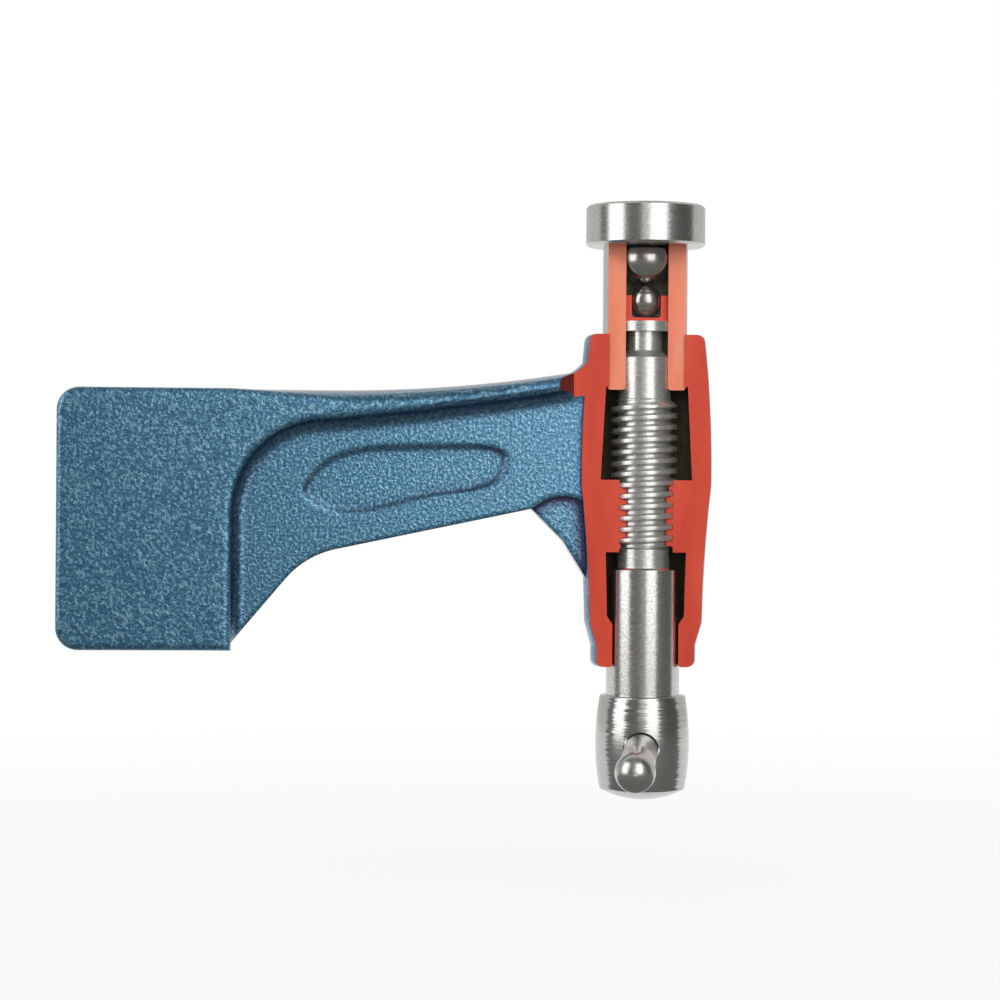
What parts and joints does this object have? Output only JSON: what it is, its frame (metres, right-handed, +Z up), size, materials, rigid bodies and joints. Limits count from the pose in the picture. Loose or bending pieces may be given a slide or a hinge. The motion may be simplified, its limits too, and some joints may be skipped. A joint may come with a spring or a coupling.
{
  "type": "bar clamp sliding arm",
  "caption": "Cutaway sliding arm of a bar clamp: cast arm with rail slot, screw spindle, ball-thrust plunger with pressure pad, and sliding tommy bar.",
  "frame": {"origin": "centre of the rail slot, at half the height of the guide", "axes": "+Z up the spindle towards the pressure pad, +X out along the arm, milled sections face -Y"},
  "size_m": [0.1766, 0.1564, 0.1615],
  "materials": {
    "arm_paint": "glossy hammered blue paint, red on the milled section",
    "sleeve_steel": "turned steel, salmon paint on the milled section",
    "turned_steel": "fine turning marks",
    "ball_steel": "polished",
    "seat_steel": "turned steel, red paint on the milled section",
    "pin_steel": "ground",
    "spindle_steel": "satin, rolled thread",
    "bar_steel": "bright drawn"
  },
  "bodies": {
    "arm": {"sliding_arm": "arm_paint"},
    "plunger": {"plunger_sleeve": "sleeve_steel", "pressure_pad": "turned_steel", "large_ball": "ball_steel", "retaining_pin": "pin_steel"},
    "spindle": {"spindle": "spindle_steel", "spindle_head": "turned_steel", "ball_seat": "seat_steel", "small_ball": "ball_steel"},
    "tommy_bar": {"tommy_bar": "bar_steel"}
  },
  "joints": [
    {"name": "plunger_slide", "type": "slide", "parent": "arm", "child": "plunger", "axis": [0, 0, 1], "range_m": [-0.024, 0.004]},
    {"name": "spindle_turn", "type": "hinge", "parent": "plunger", "child": "spindle", "pos_m": [0.135, 0, 0], "axis": [0, 0, 1], "range_deg": [-2880, 480]},
    {"name": "bar_slide", "type": "slide", "parent": "spindle", "child": "tommy_bar", "axis": [-0.1495, -0.9888, 0], "range_m": [-0.058, 0.058]}
  ],
  "couplings": [
    {"joint": "plunger_slide", "follows": "spindle_turn", "m_per_rad": 0.00047746}
  ]
}
